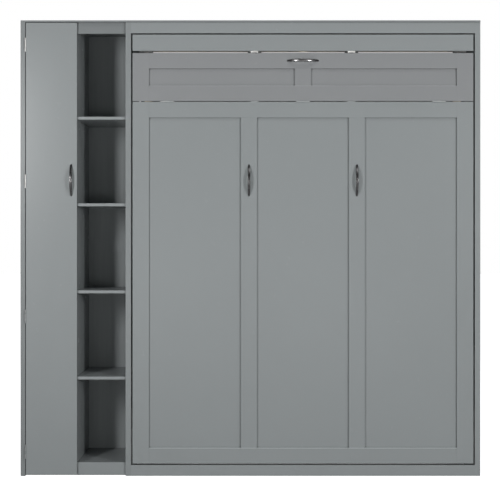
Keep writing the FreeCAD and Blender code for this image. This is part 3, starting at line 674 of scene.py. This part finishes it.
def build_straps():
    """Two flat webbing straps over the mattress, turned down at its sides and run out along the
    edges of the side rails."""
    low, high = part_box("mattress_straps")
    rail_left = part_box("bed_side_rail_left")
    rail_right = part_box("bed_side_rail_right")
    deck = low.y
    top = high.y - 0.0012
    width, thickness = 0.048, 0.0018
    inner_left = rail_left[1].x + 0.0002
    inner_right = rail_right[0].x - 0.0002
    outer_left, outer_right = rail_left[0].x + 0.002, rail_right[1].x - 0.002
    bend = 0.030
    for number, level in enumerate(STRAP_LEVELS, 1):
        path = [(outer_left, deck + thickness), (inner_left - 0.003, deck + thickness)]
        path += [(inner_left + 0.0010, deck + 0.005), (inner_left + 0.0012, top - bend)]
        for step in range(1, 7):
            turn = math.radians(90 * step / 6)
            path.append((inner_left + 0.0012 + bend * (1 - math.cos(turn)),
                         top - bend * (1 - math.sin(turn))))
        count = 24
        left_x, right_x = path[-1][0], inner_left + inner_right - path[-1][0]
        for step in range(1, count):
            share = step / count
            path.append((left_x + (right_x - left_x) * share,
                         top - 0.0012 * math.sin(math.pi * share * 9) ** 2))
        mirror = [(inner_left + inner_right - x, y) for x, y in path[:10]]
        path += mirror[::-1]
        vertices, faces = [], []
        edge = width / 2
        for i, (x, y) in enumerate(path):
            px, py = path[max(i - 1, 0)]
            nx, ny = path[min(i + 1, len(path) - 1)]
            length = math.hypot(nx - px, ny - py)
            ox, oy = -(ny - py) / length, (nx - px) / length
            h = thickness / 2
            for w, d in ((-edge, -0.7 * h), (-edge + 0.002, -h), (edge - 0.002, -h),
                         (edge, -0.7 * h), (edge, 0.7 * h), (edge - 0.002, h),
                         (-edge + 0.002, h), (-edge, 0.7 * h)):
                vertices.append((x + ox * d, y + oy * d, level + w))
        faces = ring_faces(len(path), 8)
        faces.append(tuple(range(8)))
        faces.append(tuple(range(len(vertices) - 8, len(vertices)))[::-1])
        strap = new_piece("mattress_strap_%d" % number, vertices, faces, "strap")
        strap.data.set_sharp_from_angle(angle=math.radians(50))
        if number == 1:
            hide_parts("mattress_straps")
        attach(strap, "bed")


# ---------------------------------------------------------------- stage, lights, camera

EYE_X = -0.001
EYE_HEIGHT = 1.159
EYE_DISTANCE = 5.9
SCALE_AT_FRONT = 0.00481
IMAGE_WIDTH = 500
FLOOR_GLOW = 1.05
FOOTPRINT_SHIFT = 0.045   # the dark footprint's middle, behind the frame's origin


def build_stage():
    """A pale floor, which the camera sees as white everywhere but under the cabinet."""
    floor_mesh = bpy.data.meshes.new("floor")
    reach, level = 30.0, -0.001
    floor_mesh.from_pydata([(-reach, -reach, level), (reach, -reach, level),
                            (reach, reach, level), (-reach, reach, level)], [],
                           [(0, 1, 2, 3)])
    floor = bpy.data.objects.new("floor", floor_mesh)
    bpy.context.scene.collection.objects.link(floor)
    s = Shader("floor_pale")
    s.set(Base_Color=s.ramp(s.noise(3.0), [(0.3, 0.76), (0.7, 0.80)]), Roughness=0.95)
    across, deep, _ = s.node("SeparateXYZ", Vector=s.place).outputs
    high = CAD_BOX[1]
    beside = s.maths("GREATER_THAN", s.maths("ABSOLUTE", across), high[0])
    off_middle = s.maths("ABSOLUTE", s.maths("SUBTRACT", deep, FOOTPRINT_SHIFT))
    before = s.maths("GREATER_THAN", off_middle, high[1] - FOOTPRINT_SHIFT)
    outside = s.maths("MAXIMUM", beside, before)
    glow = s.node("Emission", Strength=s.maths("MULTIPLY", outside, FLOOR_GLOW))
    path = s.node("LightPath")
    lit = s.tree.nodes.new("ShaderNodeAddShader")
    s.tree.links.new(s.surface.outputs[0], lit.inputs[0])
    s.tree.links.new(glow.outputs[0], lit.inputs[1])
    mix = s.tree.nodes.new("ShaderNodeMixShader")
    s.tree.links.new(path.outputs["Is Camera Ray"], mix.inputs[0])
    s.tree.links.new(s.surface.outputs[0], mix.inputs[1])
    s.tree.links.new(lit.outputs[0], mix.inputs[2])
    s.tree.links.new(mix.outputs[0], s.tree.nodes["Material Output"].inputs["Surface"])
    floor_mesh.materials.append(s.material)


def build_world():
    """White to the camera, and a dim even grey as light."""
    world = bpy.data.worlds.new("studio")
    bpy.context.scene.world = world
    world.use_nodes = True
    tree = world.node_tree
    seen = tree.nodes.new("ShaderNodeBackground")
    seen.inputs["Color"].default_value = (1.0, 1.0, 1.0, 1.0)
    fill = tree.nodes["Background"]
    fill.inputs["Color"].default_value = (0.93, 0.97, 1.0, 1.0)
    fill.inputs["Strength"].default_value = 0.06
    path = tree.nodes.new("ShaderNodeLightPath")
    mix = tree.nodes.new("ShaderNodeMixShader")
    tree.links.new(path.outputs["Is Camera Ray"], mix.inputs[0])
    tree.links.new(fill.outputs[0], mix.inputs[1])
    tree.links.new(seen.outputs[0], mix.inputs[2])
    tree.links.new(mix.outputs[0], tree.nodes["World Output"].inputs["Surface"])


def area_light(name, place, target, size, power):
    """A rectangular soft light at place, aimed at target."""
    data = bpy.data.lights.new(name, "AREA")
    data.shape = "RECTANGLE"
    data.size, data.size_y = size
    data.energy = power
    light = bpy.data.objects.new(name, data)
    light.location = place
    light.rotation_euler = (Vector(target) - Vector(place)).to_track_quat("-Z", "Y").to_euler()
    bpy.context.scene.collection.objects.link(light)


def build_lights():
    area_light("softbox_left", (-1.845, -3.3, 1.92), (-0.3, -0.2, 1.2), (0.26, 1.05), 36)
    area_light("strip_left", (-1.845, -3.3, 1.3), (-0.3, -0.2, 1.2), (0.26, 1.9), 16)
    area_light("softbox_right", (2.95, -4.2, 1.75), (0.4, -0.2, 1.2), (0.34, 1.1), 88)
    area_light("fill_front", (0.0, -6.6, 0.6), (0.0, -0.2, 1.0), (3.6, 0.8), 32)
    area_light("fill_above", (0.9, -2.4, 4.6), (0.4, -0.2, 1.0), (3.0, 1.5), 33)
    area_light("rear_left", (-4.0, 3.4, 2.5), (0.0, 0.2, 1.1), (1.4, 1.4), 34)
    area_light("rear_right", (4.0, 3.4, 2.5), (0.0, 0.2, 1.1), (1.4, 1.4), 34)


def build_camera():
    """Level, straight in front, as far from the bed's face as EYE_DISTANCE."""
    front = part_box("bed_cabinet_side")[0].y
    data = bpy.data.cameras.new("camera")
    data.sensor_width = 36.0
    data.lens = EYE_DISTANCE / SCALE_AT_FRONT * data.sensor_width / IMAGE_WIDTH
    data.shift_x = -0.0006
    data.shift_y = -0.030
    data.clip_end = 100.0
    camera = bpy.data.objects.new("camera", data)
    camera.location = (EYE_X, front - EYE_DISTANCE, EYE_HEIGHT)
    camera.rotation_euler = (math.radians(90), 0, 0)
    bpy.context.scene.collection.objects.link(camera)
    bpy.context.scene.camera = camera


bpy.context.scene.view_settings.view_transform = "Standard"
finish_cad_nodes()
bow_handle("bed_pull_left", "bed_handle_left", upright=True)
bow_handle("bed_pull_right", "bed_handle_right", upright=True)
bow_handle("closet_pull", "closet_handle", upright=True)
bow_handle("flap_pull", "flap_handle", upright=False, look="handle_boosted_highlight")
build_edge_band()
mattress = build_mattress()
build_piping(mattress)
build_straps()
build_stage()
build_world()
build_lights()
build_camera()

bpy.context.view_layer.update()
